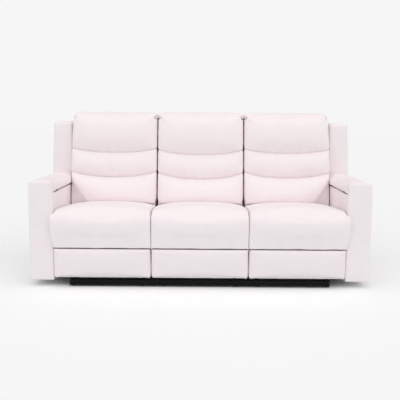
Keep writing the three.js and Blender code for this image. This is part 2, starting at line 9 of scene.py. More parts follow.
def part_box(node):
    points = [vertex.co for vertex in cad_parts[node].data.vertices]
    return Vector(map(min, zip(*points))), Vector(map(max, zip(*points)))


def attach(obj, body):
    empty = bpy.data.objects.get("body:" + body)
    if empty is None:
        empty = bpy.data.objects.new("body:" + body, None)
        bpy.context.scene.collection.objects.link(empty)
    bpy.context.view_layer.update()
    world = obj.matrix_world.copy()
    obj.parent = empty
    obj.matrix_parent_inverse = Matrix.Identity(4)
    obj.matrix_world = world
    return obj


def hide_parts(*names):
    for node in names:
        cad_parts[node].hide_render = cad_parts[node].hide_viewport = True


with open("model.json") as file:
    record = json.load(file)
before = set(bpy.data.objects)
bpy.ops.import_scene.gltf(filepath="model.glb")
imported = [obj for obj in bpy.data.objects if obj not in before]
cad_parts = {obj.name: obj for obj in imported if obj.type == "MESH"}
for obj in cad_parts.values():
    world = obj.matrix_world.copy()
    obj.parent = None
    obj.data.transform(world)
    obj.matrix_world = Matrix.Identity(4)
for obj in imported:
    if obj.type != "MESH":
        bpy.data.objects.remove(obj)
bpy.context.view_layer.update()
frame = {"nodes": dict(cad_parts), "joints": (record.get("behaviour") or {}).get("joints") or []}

# The sofa stands at the origin with its seats towards -Y. Lengths are in metres.
# Each seat is one bay wide, and its pieces carry the seat's name.
scene = bpy.context.scene
seat_names = ("left", "middle", "right")
outer_side = {"left": -1, "middle": 0, "right": 1}
sides = {"left": -1, "right": 1}
mm = 0.001


# Camera
# It stands in front of the middle seat, about as high as the backs, and looks slightly down.
# Its place and angles were fitted to the arm, wing, back and seat edges in the photo.
image_pixels = 400
focal_pixels = 605.3
sensor_width = 36
camera_place = Vector((0.003, -3.997, 1.0055))
camera_down = math.radians(7.505)
camera_turn = math.radians(0.065)
camera_roll = math.radians(0.401)

camera_data = bpy.data.cameras.new("camera")
camera_data.sensor_width = sensor_width
camera_data.lens = focal_pixels / image_pixels * sensor_width
camera = bpy.data.objects.new("camera", camera_data)
scene.collection.objects.link(camera)
camera.matrix_world = (
    Matrix.Translation(camera_place)
    @ Matrix.Rotation(camera_turn, 4, "Z")
    @ Matrix.Rotation(math.pi / 2 - camera_down, 4, "X")
    @ Matrix.Rotation(camera_roll, 4, "Z")
)
scene.camera = camera


# Steel mechanism
# The bases, swing links, carriages, tongs, brackets and back frames are pressed and welded mild steel.
# They are dipped in satin black paint, which pools a little and dulls with dust.
def linear(hex_colour):
    channels = [int(hex_colour[i:i + 2], 16) / 255 for i in (0, 2, 4)]
    return [c / 12.92 if c <= 0.04045 else ((c + 0.055) / 1.055) ** 2.4 for c in channels] + [1]


def set_inputs(tree, node, inputs):
    for name, value in inputs.items():
        if isinstance(value, bpy.types.NodeSocket):
            tree.links.new(value, node.inputs[name])
        else:
            node.inputs[name].default_value = value


def add_node(tree, kind, inputs=None, **settings):
    node = tree.nodes.new(kind)
    for name, value in settings.items():
        setattr(node, name, value)
    set_inputs(tree, node, inputs or {})
    return node


def new_material(name):
    material = bpy.data.materials.new(name)
    material.use_nodes = True
    tree = material.node_tree
    tree.nodes.clear()
    shader = add_node(tree, "ShaderNodeBsdfPrincipled")
    add_node(tree, "ShaderNodeOutputMaterial", {"Surface": shader.outputs["BSDF"]})
    place = add_node(tree, "ShaderNodeTexCoord").outputs["Object"]
    return material, tree, shader, place


def noise(tree, place, size, detail=2.0):
    node = add_node(tree, "ShaderNodeTexNoise", {"Vector": place, "Scale": 1 / size, "Detail": detail})
    return node.outputs["Fac"]


def two_tone(tree, factor, dark, light, low=0.3, high=0.7):
    ramp = add_node(tree, "ShaderNodeValToRGB", {"Fac": factor})
    for stop, place, colour in zip(ramp.color_ramp.elements, (low, high), (dark, light)):
        stop.position = place
        stop.color = linear(colour)
    return ramp.outputs["Color"]


def between(tree, factor, low, high):
    node = add_node(tree, "ShaderNodeMapRange", {"Value": factor, "To Min": low, "To Max": high})
    return node.outputs["Result"]


def bump(tree, height, strength, distance, **under):
    inputs = {"Height": height, "Strength": strength, "Distance": distance, **under}
    return add_node(tree, "ShaderNodeBump", inputs).outputs["Normal"]


# Satin black paint on steel: near-black with a soft highlight, a faint orange peel and a film of dust
def black_paint():
    material, tree, shader, place = new_material("satin_black_paint")
    peel = noise(tree, place, 1.6 * mm)
    dust = noise(tree, place, 60 * mm, 4)
    set_inputs(tree, shader, {
        "Base Color": two_tone(tree, dust, "040405", "0C0B0B"),
        "Roughness": between(tree, dust, 0.42, 0.6),
        "Specular IOR Level": 0.15,
        "Normal": bump(tree, peel, 0.12, 0.2 * mm),
    })
    return material


painted_steel = black_paint()
steel_kinds = (
    "base", "swing_link_front", "swing_link_rear", "seat_carriage", "tongs_link_a", "tongs_link_b",
    "tongs_link_c", "tongs_link_d", "control_link", "footrest_bracket", "back_frame",
)


def dress(node, material):
    frame["nodes"][node].material_slots[0].material = material


dress("front_rail", painted_steel)
for seat in seat_names:
    for kind in steel_kinds:
        dress(f"{kind}_{seat}", painted_steel)


# Rivets and washers of the mechanism
# Each pivot pin ends in a head that is peened over a plain washer, in bright zinc.
# The heads outside the plates are domed. Those between two layers of links are flat.
def bright_zinc():
    material, tree, shader, place = new_material("bright_zinc_plate")
    bloom = noise(tree, place, 9 * mm, 4)
    set_inputs(tree, shader, {
        "Base Color": two_tone(tree, bloom, "9A9B9C", "C3C5C6"),
        "Roughness": between(tree, bloom, 0.28, 0.5),
        "Metallic": 0.9,
    })
    return material


# A tree with named inputs, which puts one instance on each of its places and paints it
def repeat_tree(name, output, sockets, build):
    tree = bpy.data.node_groups.new(name, "GeometryNodeTree")
    kinds = {"Places": "NodeSocketGeometry", **sockets, "Finish": "NodeSocketMaterial"}
    names = {
        name: tree.interface.new_socket(name, in_out="INPUT", socket_type=kind).identifier
        for name, kind in kinds.items()
    }
    tree.interface.new_socket(output, in_out="OUTPUT", socket_type="NodeSocketGeometry")
    given = add_node(tree, "NodeGroupInput").outputs
    placed = add_node(tree, "GeometryNodeInstanceOnPoints", {
        "Points": given["Places"], "Instance": build(tree, given),
    })
    real = add_node(tree, "GeometryNodeRealizeInstances", {"Geometry": placed.outputs["Instances"]})
    painted = add_node(tree, "GeometryNodeSetMaterial", {
        "Geometry": real.outputs["Geometry"], "Material": given["Finish"],
    })
    add_node(tree, "NodeGroupOutput", {output: painted.outputs["Geometry"]})
    return tree, names


# One pin head: a washer with a dome through it, lying along X
def pin_head(tree, given):
    washer = add_node(tree, "GeometryNodeMeshCylinder", {
        "Vertices": 24, "Radius": given["Washer radius"], "Depth": given["Washer thickness"],
    }).outputs["Mesh"]
    ball = add_node(tree, "GeometryNodeMeshUVSphere", {"Segments": 16, "Rings": 10}).outputs["Mesh"]
    size = add_node(tree, "ShaderNodeCombineXYZ", {
        "X": given["Head radius"], "Y": given["Head radius"], "Z": given["Head height"],
    }).outputs["Vector"]
    dome = add_node(tree, "GeometryNodeTransform", {"Geometry": ball, "Scale": size}).outputs["Geometry"]
    head = add_node(tree, "GeometryNodeJoinGeometry")
    tree.links.new(washer, head.inputs["Geometry"])
    tree.links.new(dome, head.inputs["Geometry"])
    return add_node(tree, "GeometryNodeTransform", {
        "Geometry": head.outputs["Geometry"], "Rotation": (0, math.pi / 2, 0),
    }).outputs["Geometry"]


def new_piece(name, points, faces, material):
    mesh = bpy.data.meshes.new(name)
    faces = faces.tolist() if isinstance(faces, np.ndarray) else faces
    mesh.from_pydata(np.asarray(points).tolist(), [], faces)
    mesh.materials.append(material)
    mesh.shade_smooth()
    piece = bpy.data.objects.new(name, mesh)
    scene.collection.objects.link(piece)
    return piece


def apply_modifiers(piece):
    evaluated = piece.evaluated_get(bpy.context.evaluated_depsgraph_get())
    mesh = bpy.data.meshes.new_from_object(evaluated)
    piece.modifiers.clear()
    piece.data = mesh
    mesh.name = piece.name


# Sets a tree on a mesh of points, with its named inputs, and turns the result into a plain mesh
def grow(name, points, maker, values, material):
    tree, names = maker
    piece = new_piece(name, points, [], material)
    modifier = piece.modifiers.new("maker", "NODES")
    modifier.node_group = tree
    for key, value in {**values, "Finish": material}.items():
        modifier[names[key]] = value
    apply_modifiers(piece)
    return piece


zinc = bright_zinc()
head_maker = repeat_tree("pin_heads", "Heads", {
    name: "NodeSocketFloat"
    for name in ("Washer radius", "Washer thickness", "Head radius", "Head height")
}, pin_head)
plate_half = 1.8 * mm
layer_pitch = 5 * mm
plate_place = 205 * mm
pin_washer = 7.5 * mm
head_radius = 5 * mm
head_gap = 0.1 * mm
flat_thickness = 0.7 * mm
domed_thickness = 1 * mm
domed_height = 2.6 * mm
rear_pivot_shift = Vector((0, 0.28, 0))
joint_place = {joint["name"]: Vector(joint["pos_m"]) for joint in frame["joints"]}

# Each pin's name, the body that carries it, the joints at its centres, its layer and whether it is domed.
# Layers count inwards from the carriage's plate.
pins = (
    ("base", "root", ("swing_front_turn", "swing_rear_turn"), -2, True),
    ("swing_front", "swing_front", ("carriage_turn",), -1, True),
    ("swing_rear", "swing_rear", ("carriage_turn",), -1, True),
    ("back_hinge", "carriage", ("recline",), -1, True),
    ("tongs_pivot", "carriage", ("footrest_open",), 0, True),
    ("tongs_a", "tongs_a", ("tongs_b_turn",), 1, False),
    ("tongs_b", "tongs_b", ("tongs_c_turn",), 1, False),
    ("tongs_c", "tongs_c", ("tongs_d_turn",), 1, False),
    ("control", "control", ("control_turn",), 1, False),
    ("footrest", "footrest", ("panel_turn",), 2, False),
)


def pivot(joint, seat):
    return joint_place[f"{joint}_{seat}"]


def outer_face(layer):
    return plate_place - layer * layer_pitch + plate_half


for seat in seat_names:
    for name, carrier, joints, layer, domed in pins:
        centres = [pivot(joint, seat) for joint in joints]
        if name == "swing_rear":
            centres = [centre + rear_pivot_shift for centre in centres]
        thickness = domed_thickness if domed else flat_thickness
        offset = outer_face(layer) + head_gap + thickness / 2
        points = [centre + Vector((side * offset, 0, 0)) for centre in centres for side in (1, -1)]
        heads = grow(f"pin_heads_{name}_{seat}", points, head_maker, {
            "Washer radius": pin_washer,
            "Washer thickness": thickness,
            "Head radius": head_radius,
            "Head height": domed_height if domed else thickness / 2,
        }, zinc)
        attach(heads, carrier if carrier == "root" else f"{carrier}_{seat}")


# Glides and rail plugs
# A black nylon cap is pushed on each foot of the bases, so the sofa slides without marking the floor.
# A plug of the same nylon closes each end of the front rail's tube.
def black_nylon():
    material, tree, shader, place = new_material("black_nylon")
    scuffs = noise(tree, place, 6 * mm, 4)
    set_inputs(tree, shader, {
        "Base Color": two_tone(tree, scuffs, "0D0D0E", "1B1B1C"),
        "Roughness": 0.5,
    })
    return material


nylon = black_nylon()
glide_radius = 16 * mm
glide_height = 8 * mm
glide_bevel = 2 * mm
glide_lip = 0.4 * mm
foot_front_y = -0.3817
foot_rear_y = 0.317
plug_lip = 1.5 * mm
plug_gap = 0.3 * mm
plug_length = 9 * mm
plug_corner = 5 * mm
plug_squareness = 5
plug_bevel_share = 0.3

ring_corners = 32
ring_turn = np.linspace(0, 2 * math.pi, ring_corners, endpoint=False)
circle = np.stack([np.cos(ring_turn), np.sin(ring_turn)], 1)
rounded_square = circle / (np.abs(circle) ** plug_squareness).sum(1, keepdims=True) ** (1 / plug_squareness)


# Joins each ring of points to the next by quads, and closes both ends
def joined_rings(rings):
    ring = np.arange(ring_corners)
    after = (ring + 1) % ring_corners
    starts = range(0, len(rings) * ring_corners, ring_corners)
    walls = [
        [low + a, low + b, high + b, high + a]
        for low, high in zip(starts[:-1], starts[1:]) for a, b in zip(ring, after)
    ]
    return np.concatenate(rings), [*walls, ring[::-1].tolist(), (ring + starts[-1]).tolist()]


glide, glide_walls = joined_rings([
    np.column_stack([radius * circle, np.full(ring_corners, height)])
    for radius, height in (
        (glide_radius - glide_bevel, 0), (glide_radius, glide_bevel), (glide_radius, glide_height),
        (glide_radius - glide_bevel, glide_height + glide_lip),
    )
])
for seat in seat_names:
    middle = pivot("recline", seat).x
    foot_x = outer_face(-2) - plate_half
    feet = [(x, y, 0) for x in (middle - foot_x, middle + foot_x) for y in (foot_front_y, foot_rear_y)]
    faces = [[corner + i * len(glide) for corner in wall] for i in range(len(feet)) for wall in glide_walls]
    glides = new_piece(f"glides_{seat}", np.concatenate([glide + foot for foot in feet]), faces, nylon)
    glides.data.shade_flat()
    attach(glides, "root")

rail_low, rail_high = map(np.array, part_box("front_rail"))
plug_bevel = plug_bevel_share * plug_corner
for name, side in sides.items():
    end = (rail_high if side > 0 else rail_low)[0]
    centre, half = (rail_low + rail_high) / 2, (rail_high - rail_low) / 2 + plug_lip
    points, walls = joined_rings([
        np.column_stack([
            np.full(ring_corners, end + side * out),
            centre[1:] + rounded_square * (half[1:] - inset),
        ])
        for out, inset in (
            (plug_gap, 0), (plug_length - plug_corner, 0),
            (plug_length - plug_bevel, plug_bevel), (plug_length, plug_corner),
        )
    ])
    walls = walls if side > 0 else [wall[::-1] for wall in walls]
    plug = new_piece(f"rail_cap_{name}", points, walls, nylon)
    plug.data.shade_flat()
    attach(plug, "root")


# Seat boxes
# Each seat sits on a frame of birch plywood, sawn from sheet, so its plies show as stripes on the edges.
wave_bands = 20 / (2 * math.pi)


# Stripes of one width: at a scale of one, a wave texture has wave_bands of them in a metre
def bands(tree, place, width, direction, distortion=0.0):
    return add_node(tree, "ShaderNodeTexWave", {
        "Vector": place, "Scale": 1 / (wave_bands * width), "Distortion": distortion,
    }, bands_direction=direction).outputs["Fac"]


def plywood():
    material, tree, shader, place = new_material("birch_plywood")
    ply = 2.8 * mm
    grain_length = 90 * mm
    grain_width = 2.5 * mm
    stretched = add_node(tree, "ShaderNodeMapping", {
        "Vector": place, "Scale": (1 / grain_length, 1 / grain_width, 1 / grain_width),
    }).outputs["Vector"]
    grain = noise(tree, stretched, 1, 5.0)
    plies = bands(tree, place, ply, "Z", 0.4)
    mixed = add_node(tree, "ShaderNodeMix", {
        "Factor": 0.35,
        "A": two_tone(tree, grain, "B48A58", "DDBE8E"),
        "B": two_tone(tree, plies, "8C6A44", "FFFFFF"),
    }, data_type="RGBA", blend_type="MULTIPLY")
    set_inputs(tree, shader, {
        "Base Color": mixed.outputs["Result"],
        "Roughness": 0.68,
        "Normal": bump(tree, grain, 0.2, 0.2 * mm),
    })
    return material


birch = plywood()
for seat in seat_names:
    dress(f"seat_box_{seat}", birch)


# Seat webbing
# Woven black elastic straps cross on each seat box. Their threads run along and across in a plain weave.
def calculate(tree, operation, *values):
    return add_node(tree, "ShaderNodeMath", dict(enumerate(values)), operation=operation).outputs[0]


def elastic_webbing():
    material, tree, shader, place = new_material("woven_elastic_webbing")
    thread = 1.5 * mm
    across, along = (bands(tree, place, thread, direction) for direction in "XY")
    weave = calculate(tree, "MULTIPLY", across, along)
    set_inputs(tree, shader, {
        "Base Color": two_tone(tree, weave, "161617", "2E2D2F"),
        "Roughness": 0.9,
        "Normal": bump(tree, weave, 0.6, 0.4 * mm),
    })
    return material


black_webbing = elastic_webbing()
for seat in seat_names:
    dress(f"seat_webbing_{seat}", black_webbing)


# Seat cushions
# Each is a foam block with a fibre wrap, crowned on top and rolled over at the front, in one cover with
# boxed sides. Its cover is ivory woven polyester, closed along the side edges by plain seams.
def woven_polyester():
    material, tree, shader, place = new_material("ivory_woven_polyester")
    thread = 1.1 * mm
    separate = add_node(tree, "ShaderNodeSeparateXYZ", {"Vector": place})
    ridges = []
    for axis in "XYZ":
        turned = calculate(tree, "MULTIPLY", separate.outputs[axis], math.pi / thread)
        ridges.append(calculate(tree, "ABSOLUTE", calculate(tree, "SINE", turned)))
    weave = calculate(tree, "ADD", calculate(tree, "ADD", ridges[0], ridges[1]), ridges[2])
    nap = noise(tree, place, 70 * mm, 4)
    fleck = noise(tree, place, 2.2 * mm, 2)
    blotch = calculate(tree, "MULTIPLY_ADD", fleck, 0.5, nap)
    cloth_bump = bump(tree, weave, 0.22, 0.22 * mm)
    set_inputs(tree, shader, {
        "Base Color": two_tone(tree, blotch, "F6EBED", "F8EEEF", 0.5, 1.0),
        "Roughness": 0.88,
        "Specular IOR Level": 0.2,
        "Sheen Weight": 0.12,
        "Sheen Roughness": 0.5,
        "Normal": bump(tree, fleck, 0.12, 0.6 * mm, Normal=cloth_bump),
    })
    return material


fabric = woven_polyester()
arc_steps = 5
held_levels = 10
tiny = 1e-9
surface_slack = 1e-7


# Places along one axis of a soft block, even between the edges and closer round them
def edge_stops(half, low_radius, high_radius, step, arc_count=arc_steps):
    arc = np.tan(np.linspace(0, math.pi / 4, arc_count + 1))[1:]
    low, high = low_radius - half, half - high_radius
    count = max(2, round((high - low) / step))
    return np.concatenate([
        low - low_radius * arc[::-1], np.linspace(low, high, count + 1), high + high_radius * arc,
    ])


# The surface of a box as a closed grid, with its quads facing out
def closed_grid(stops):
    outside = np.ones([len(s) for s in stops], bool)
    outside[1:-1, 1:-1, 1:-1] = False
    number = np.full(outside.shape, -1)
    number[outside] = np.arange(outside.sum())
    points = np.stack(np.meshgrid(*stops, indexing="ij"), axis=-1)[outside]
    faces = []
    for axis in range(3):
        for end in (0, -1):
            layer = np.take(number, end, axis=axis)
            quads = np.stack([layer[:-1, :-1], layer[1:, :-1], layer[1:, 1:], layer[:-1, 1:]], axis=-1)
            outward = (end == -1) == (axis != 1)
            faces.append(quads.reshape(-1, 4)[:, ::1 if outward else -1])
    return points, np.concatenate(faces)


# A soft block: its half sizes, the radii of its low and high faces along each axis, and its grid step.
# It gives its rounded points, the same points as shares of the half sizes, its faces, and how far each
# point lies from the seam that closes its side faces.
def soft_block(half, low_radii, high_radii, step, stops=None):
    half, low_radii, high_radii = np.array(half), np.array(low_radii), np.array(high_radii)
    stops = stops or [edge_stops(half[i], low_radii[i], high_radii[i], step) for i in range(3)]
    flat, faces = closed_grid(stops)
    inner = np.clip(flat, low_radii - half, half - high_radii)
    radii = np.where(flat < 0, low_radii, high_radii)
    away = (flat - inner) / radii
    away /= np.maximum(np.linalg.norm(away, axis=1, keepdims=True), tiny)
    on_side = np.abs(flat[:, 0]) > half[0] - surface_slack
    seam = np.where(on_side, np.min(half[1:] - np.abs(flat[:, 1:]), axis=1), half[0] - np.abs(flat[:, 0]))
    return inner + away * radii, flat / half, faces, seam


def bulge(share):
    return 1 - share * share


# How far a rounded edge has dropped, from 0 inside to 1 at the edge itself
def edge_drop(share, power):
    return 1 - (1 - np.clip(share, 0, 1) ** power) ** (1 / power)


def smooth(value, start, end):
    t = np.clip((value - start) / (end - start), 0, 1)
    return t * t * (3 - 2 * t)


# Nothing inside a share of the way out, and rising from there to one at the edge
def near_edge(share, start):
    return smooth(share, start, 1)


# A hump of one at zero, which fades over a width to both sides
def hump(distance, width):
    return np.exp(-(distance / width) ** 2)


def keep_value(piece, name, values):
    piece.data.attributes.new(name, "FLOAT", "POINT").data.foreach_set("value", values.astype(np.float32))


def kept_value(piece, name):
    values = np.zeros(len(piece.data.vertices), np.float32)
    piece.data.attributes[name].data.foreach_get("value", values)
    return values


def places(mesh):
    values = np.zeros(len(mesh.vertices) * 3)
    mesh.vertices.foreach_get("co", values)
    return values.reshape(-1, 3)


def set_places(piece, values):
    piece.data.vertices.foreach_set("co", values.reshape(-1))
    piece.data.update()


# Fills a cover like a cushion: the cloth swells under pressure where it isn't held, up to a cap
def swell(piece, held, pressure, ease, cap, frames=14):
    start = places(piece.data)
    group = piece.vertex_groups.new(name="held")
    for level in range(1, held_levels + 1):
        chosen = np.nonzero(np.round(held * held_levels) == level)[0]
        if len(chosen):
            group.add(chosen.tolist(), level / held_levels, "REPLACE")
    cloth = piece.modifiers.new("cloth", "CLOTH")
    cloth.settings.quality = 5
    cloth.settings.tension_stiffness = 10
    cloth.settings.compression_stiffness = 10
    cloth.settings.shear_stiffness = 4
    cloth.settings.bending_stiffness = 0.3
    cloth.settings.use_pressure = True
    cloth.settings.uniform_pressure_force = pressure
    cloth.settings.vertex_group_mass = group.name
    cloth.settings.shrink_min = -ease
    cloth.settings.effector_weights.gravity = 0
    cloth.point_cache.frame_end = frames
    for number in range(1, frames + 1):
        scene.frame_set(number)
    evaluated = piece.evaluated_get(bpy.context.evaluated_depsgraph_get())
    moved = places(evaluated.data) - start
    length = np.linalg.norm(moved, axis=1, keepdims=True)
    scene.frame_set(1)
    piece.modifiers.clear()
    piece.vertex_groups.clear()
    set_places(piece, start + moved * np.minimum(1, cap / np.maximum(length, tiny)))


def refine(piece):
    finer = piece.modifiers.new("finer", "SUBSURF")
    finer.levels = finer.render_levels = 1
    apply_modifiers(piece)


# Moves the surface out along its normals by an amount for each point
def push_out(piece, amount):
    normals = np.zeros(len(piece.data.vertices) * 3)
    piece.data.vertices.foreach_get("normal", normals)
    set_places(piece, places(piece.data) + normals.reshape(-1, 3) * amount[:, None])


# Uneven waves along a line, as stretched cloth makes beside a seam
def ripple(along, phase, lengths):
    waves = [np.sin(2 * math.pi * along / length + phase * (i + 1)) for i, length in enumerate(lengths)]
    return sum(waves) / len(waves)


# Cuts a straight block out of a piece, such as the place where it sits on something hard
def carve(piece, low, high, turn=Matrix.Identity(4)):
    corners = [(x, y, z) for x in (low[0], high[0]) for y in (low[1], high[1]) for z in (low[2], high[2])]
    sheets = [(0, 1, 3, 2), (4, 6, 7, 5), (0, 4, 5, 1), (2, 3, 7, 6), (0, 2, 6, 4), (1, 5, 7, 3)]
    tool = new_piece("tool", corners, sheets, piece.data.materials[0])
    tool.data.shade_flat()
    tool.data.transform(turn)
    cut = piece.modifiers.new("cut", "BOOLEAN")
    cut.object = tool
    cut.operation = "DIFFERENCE"
    cut.solver = "MANIFOLD"
    apply_modifiers(piece)
    bpy.data.objects.remove(tool)


seat_pitch = 0.588
seat_half = np.array([0.293, 0.253, 0.116])
seat_centre_y = -0.202
seat_centre_z = 0.358
seat_grid = 12 * mm
seat_low_radii = (8 * mm, 12 * mm, 5 * mm)
seat_high_radii = (8 * mm, 18 * mm, 16 * mm)
seat_roll = np.array([70 * mm, 66 * mm])
seat_crown = 15 * mm
seat_fall = 34 * mm
seat_side_drop = 20 * mm
seat_draw = 3 * mm
seat_tuck = 8 * mm
seat_front_puff = 7 * mm
seat_corner_bulge = 18 * mm
seat_corner_start = 6 * mm
seat_corner_spread = 14 * mm
seat_dent = 1.3 * mm
seat_dent_lengths = (0.11, 0.19, 0.31)
seat_dent_slant = 0.4
arm_front_y = -0.422
box_front_y = -0.418
cushion_underside = 0.2918
cut_half_width = 0.32
cut_bottom = 0.2
cut_rear_y = 0.2
seam_width = 4 * mm
seam_depth = 1.4 * mm


def seat_x(seat):
    return outer_side[seat] * seat_pitch


def seam_groove(piece):
    return -seam_depth * hump(kept_value(piece, "seam"), seam_width)


for number, seat in enumerate(seat_names):
    points, share, faces, seam = soft_block(seat_half, seat_low_radii, seat_high_radii, seat_grid)
    outer = outer_side[seat]
    across = np.abs(share[:, 0])
    top = (share[:, 2] + 1) / 2
    rear = (share[:, 1] + 1) / 2
    crown = seat_crown * (1 - across ** 2.4) * (1 - np.clip(-share[:, 1], 0, 1) ** 4)
    lowered = seat_fall * rear ** 2 + seat_side_drop * edge_drop(across, 4)
    # The front edge rolls over: the square corner between top and front becomes a quarter round
    reach = np.stack([-points[:, 1], points[:, 2]], 1)
    past = np.clip((reach - seat_half[1:] + seat_roll) / seat_roll, 0, 1)
    rounded = past * np.sqrt(1 - past[:, ::-1] ** 2 / 2)
    points[:, 1] += (past - rounded)[:, 0] * seat_roll[0]
    points[:, 2] -= (past - rounded)[:, 1] * seat_roll[1]
    points[:, 2] += top * (crown - lowered)
    points[:, 0] -= share[:, 0] * seat_draw * bulge(share[:, 1])
    points[:, 1] += seat_tuck * (1 - rear) * (1 - top) ** 2
    points[:, 1] -= seat_front_puff * near_edge(-share[:, 1], 0.9) * bulge(across ** 3) * bulge(share[:, 2])
    # In front of the arm, the outer seat's upper corner swells sideways
    ahead = arm_front_y - seat_corner_start - (points[:, 1] + seat_centre_y)
    corner = smooth(ahead, 0, seat_corner_spread) * near_edge(outer * share[:, 0], 0.8) * smooth(top, 0, 0.5)
    points[:, 0] += outer * seat_corner_bulge * corner
    points += (seat_x(seat), seat_centre_y, seat_centre_z)
    cushion = new_piece(f"seat_cover_{seat}", points, faces, fabric)
    keep_value(cushion, "seam", seam)
    keep_value(cushion, "front", 1 - rear)
    held = np.maximum(smooth(-share[:, 2], 0.2, 0.7), near_edge(share[:, 1], 0.8))
    held = np.maximum(held, near_edge(across, 0.93))
    swell(cushion, held, pressure=2.5, ease=0.002, cap=6 * mm)
    refine(cushion)
    where = places(cushion.data)
    along = where[:, 0] + seat_dent_slant * where[:, 2]
    dents = ripple(along, phase=1.7 * number, lengths=seat_dent_lengths) * seat_dent
    push_out(cushion, seam_groove(cushion) + dents * kept_value(cushion, "front"))
    carve(cushion,
          (seat_x(seat) - cut_half_width, box_front_y, cut_bottom),
          (seat_x(seat) + cut_half_width, cut_rear_y, cushion_underside))
    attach(cushion, f"carriage_{seat}")
    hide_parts(f"seat_cushion_{seat}")


# Footrest panels
# Each is a board with thin foam under the same cover, stapled behind. It closes the front under the seat.
panel_half = np.array([0.2925, 0.0375, 0.0931])
panel_centre_y = -0.4175
panel_centre_z = 0.1475
panel_grid = 11 * mm
panel_low_radii = (11 * mm, 12 * mm, 20 * mm)
panel_high_radii = (11 * mm, 5 * mm, 5 * mm)
panel_crown = 6 * mm
panel_top_slope = 9 * mm
panel_tuck = 16 * mm
panel_wave = 0.8 * mm
panel_wave_lengths = (0.05, 0.083, 0.17)

for number, seat in enumerate(seat_names):
    points, share, faces, seam = soft_block(panel_half, panel_low_radii, panel_high_radii, panel_grid)
    rear = (share[:, 1] + 1) / 2
    top = (share[:, 2] + 1) / 2
    points[:, 1] += (1 - rear) * panel_crown * (1 - bulge(share[:, 0] ** 2) * bulge(share[:, 2]))
    points[:, 1] += panel_tuck * (1 - rear) * (1 - top)
    points[:, 2] -= panel_top_slope * rear * top
    points += (seat_x(seat), panel_centre_y, panel_centre_z)
    panel = new_piece(f"footrest_cover_{seat}", points, faces, fabric)
    keep_value(panel, "seam", seam)
    keep_value(panel, "front", 1 - rear)
    swell(panel, smooth(rear, 0.4, 0.8), pressure=3, ease=0.004, cap=4 * mm)
    refine(panel)
    where = places(panel.data)
    waves = ripple(where[:, 0], phase=2.3 + number, lengths=panel_wave_lengths) * panel_wave
    lower = smooth(panel_centre_z - where[:, 2], 0, panel_half[2])
    push_out(panel, seam_groove(panel) + waves * kept_value(panel, "front") * lower)
    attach(panel, f"footrest_{seat}")
    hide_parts(f"footrest_panel_{seat}")


# Staples
# The panel's cover is pulled round its board and stapled behind, a finger's breadth in from each edge.
def staple_wire():
    material, tree, shader = new_material("galvanised_staple_wire")[:3]
    set_inputs(tree, shader, {"Base Color": linear("A9A9A6"), "Metallic": 1.0, "Roughness": 0.38})
    return material


def staple(tree, given):
    return add_node(tree, "GeometryNodeMeshCube", {"Size": given["Size"]}).outputs["Mesh"]


wire = staple_wire()
staple_maker = repeat_tree("staples", "Staples", {"Size": "NodeSocketVector"}, staple)
staple_length = 10 * mm
staple_thickness = 0.9 * mm
staple_gap = 0.1 * mm
staple_pitch = 28 * mm
staple_inset = 17 * mm
staple_y = panel_centre_y + panel_half[1] + staple_thickness / 2 + staple_gap
staple_size = (staple_length, staple_thickness, staple_thickness)
reach_x, reach_z = panel_half[0] - staple_inset, panel_half[2] - staple_inset
rows = {
    "across": [(x, z) for x in np.arange(-reach_x, reach_x, staple_pitch) for z in (-reach_z, reach_z)],
    "upright": [
        (x, z) for z in np.arange(-reach_z, reach_z, staple_pitch)[1:] for x in (-reach_x, reach_x)
    ],
}

for seat in seat_names:
    for row, spots in rows.items():
        points = [(seat_x(seat) + x, staple_y, panel_centre_z + z) for x, z in spots]
        staples = grow(f"staples_{row}_{seat}", points, staple_maker, {
            "Size": staple_size if row == "across" else staple_size[::-1],
        }, wire)
        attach(staples, f"footrest_{seat}")


# Back cushions
# Three fibre pillows in one cover, over foam on the steel frame. Two curved seams part them, and each
# pillow hangs a little over the seam below it. The outer backs are hollow beside the arms.
back_bottom = 0.360
back_top = 1.050
back_half = np.array([0.2925, 0.114, (back_top - back_bottom) / 2])
back_grid = 12 * mm
back_depth_grid = 22 * mm
back_low_radii = (9 * mm, 20 * mm, 18 * mm)
back_high_radii = (9 * mm, 28 * mm, 36 * mm)
back_front_y = 0.062
back_front_slope = 0.2
back_rear_y = 0.379
back_rear_slope = 0.09
pillow_edges = np.array([0.440, 0.652, 0.806, back_top])
pillow_depths = np.array([42 * mm, 28 * mm, 36 * mm])
pillow_squareness = 9
groove_depth = 8 * mm
seam_drops = np.array([0, 44 * mm, 34 * mm, 0])
outer_seam_lift = np.array([0, 6 * mm, 7.5 * mm, 0])
outer_seam_straighter = np.array([0, 5.5 * mm, 5.5 * mm, 0])
overhang = 8 * mm
rows_per_pillow = (16, 12, 22)
rows_below = 5
outer_corner_cut = 24 * mm
inner_corner_cut = 12 * mm
slant_softness = 3 * mm
side_pinch = 2 * mm
side_pinch_reach = 14 * mm
side_wander = 1.2 * mm
side_wander_lengths = (0.05, 0.083, 0.19)
upper_inset = 5 * mm
notch_cut = 7 * mm
notch_top = 0.478
notch_rise = 0.03
hollow_depth = 14 * mm
hollow_top = 0.655
hollow_rise = 0.42
crease_start = 0.97
crease_share = 0.9
pucker_depth = 1.3 * mm
pucker_reach = 26 * mm
pucker_lengths = (23 * mm, 37 * mm, 61 * mm)
stitch_depth = 3 * mm
stitch_width = 3.5 * mm
stitch_hold = 5 * mm
gather_depth = 20 * mm
gather_width = 3 * mm
gather_turns = (0.72, 1.2)
gather_jitter = 0.12
gather_drop = 40 * mm
gather_inset = 4 * mm
gather_reach = 44 * mm
gather_fade = 26 * mm
frame_lean = math.radians(5.14)
frame_foot = Vector((0, 0.345, 0.360))
frame_height = 0.590
pocket_half = 0.2225
pocket_depth = 28.6 * mm
pocket_play = 0.5 * mm
